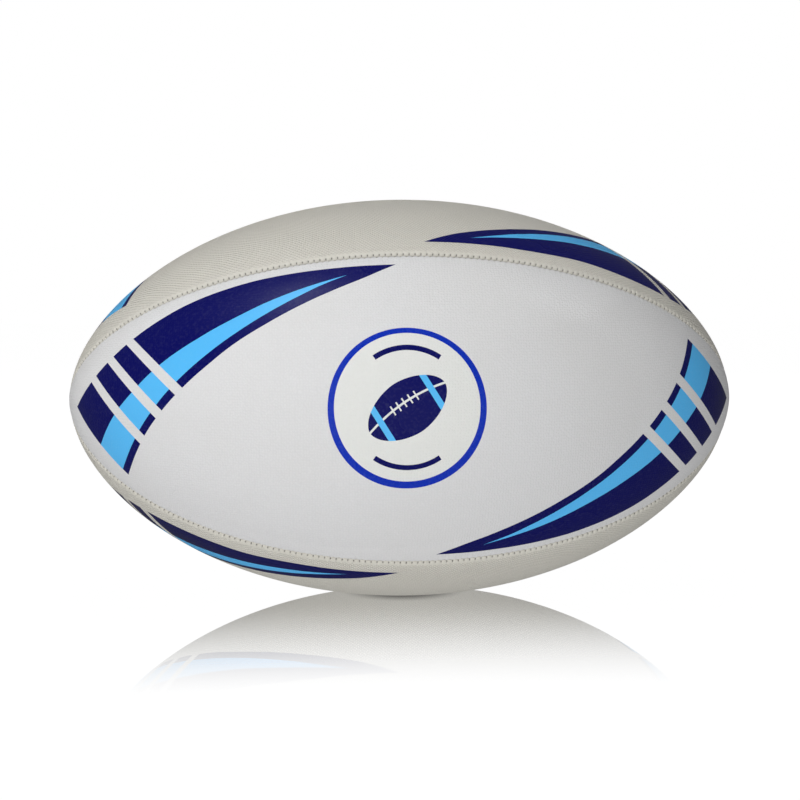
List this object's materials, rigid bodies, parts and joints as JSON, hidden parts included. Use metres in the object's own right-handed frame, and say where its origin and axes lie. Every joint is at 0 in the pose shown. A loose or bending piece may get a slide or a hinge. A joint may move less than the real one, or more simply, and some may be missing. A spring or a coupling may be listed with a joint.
{
  "type": "rugby ball",
  "caption": "Oval rugby ball of stitched rubber-covered panels over cloth backings, a bladder and a needle valve, with a plain ring badge and striped print.",
  "frame": {"origin": "centre of the ball, which is also the centre of its box", "axes": "+X along the ball's long axis; -Y out of the middle of the front panel, +Y out of the back panel, +Z out of the top panel; the four seams lie between them at 45 degrees"},
  "size_m": [0.295, 0.1756, 0.1756],
  "materials": {
    "white_rubber": "satin",
    "ivory_rubber": "satin",
    "backing_cloth": "matte",
    "waxed_thread": "satin",
    "bladder_rubber": "matte",
    "valve_rubber": "matte"
  },
  "bodies": {
    "root": {"panel_front": "white_rubber", "panel_top": "ivory_rubber", "panel_back": "white_rubber", "panel_bottom": "ivory_rubber", "backing_front": "backing_cloth", "backing_top": "backing_cloth", "backing_back": "backing_cloth", "backing_bottom": "backing_cloth", "seam_thread_top_front": "waxed_thread", "seam_thread_top_back": "waxed_thread", "seam_thread_bottom_back": "waxed_thread", "seam_thread_bottom_front": "waxed_thread", "closing_thread": "waxed_thread", "bladder": "bladder_rubber", "valve_housing": "valve_rubber", "valve_core": "bladder_rubber", "valve_hole_patch": "backing_cloth", "valve_patch": "bladder_rubber"}
  },
  "joints": []
}
